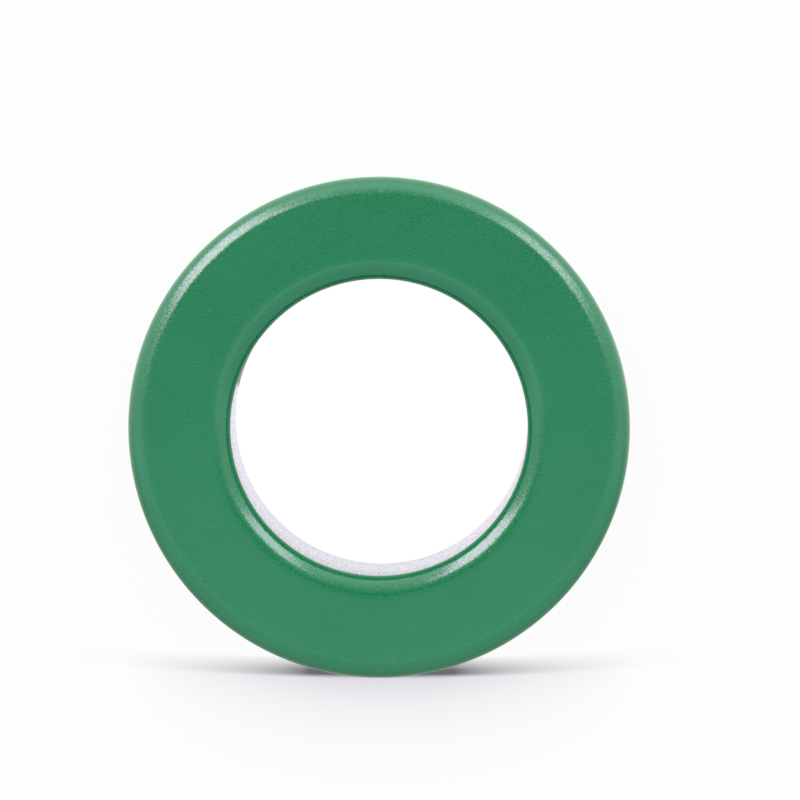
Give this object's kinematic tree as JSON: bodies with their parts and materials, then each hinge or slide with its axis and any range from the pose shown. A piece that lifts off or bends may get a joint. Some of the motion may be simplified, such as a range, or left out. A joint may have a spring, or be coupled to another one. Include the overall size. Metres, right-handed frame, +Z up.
{
  "type": "ferrite toroid core",
  "caption": "Smooth green-coated ferrite ring with a round bore and rounded edges, the core that a choke or transformer is wound on.",
  "frame": {"origin": "centre of the lower flat face, on the axis of the bore", "axes": "+Z up along the axis of the bore; the ring is round, so +X and +Y are any two directions square to it"},
  "size_m": [0.05, 0.05, 0.02],
  "materials": {
    "green_coating": "gloss"
  },
  "bodies": {
    "root": {"toroid_core": "green_coating"}
  },
  "joints": []
}
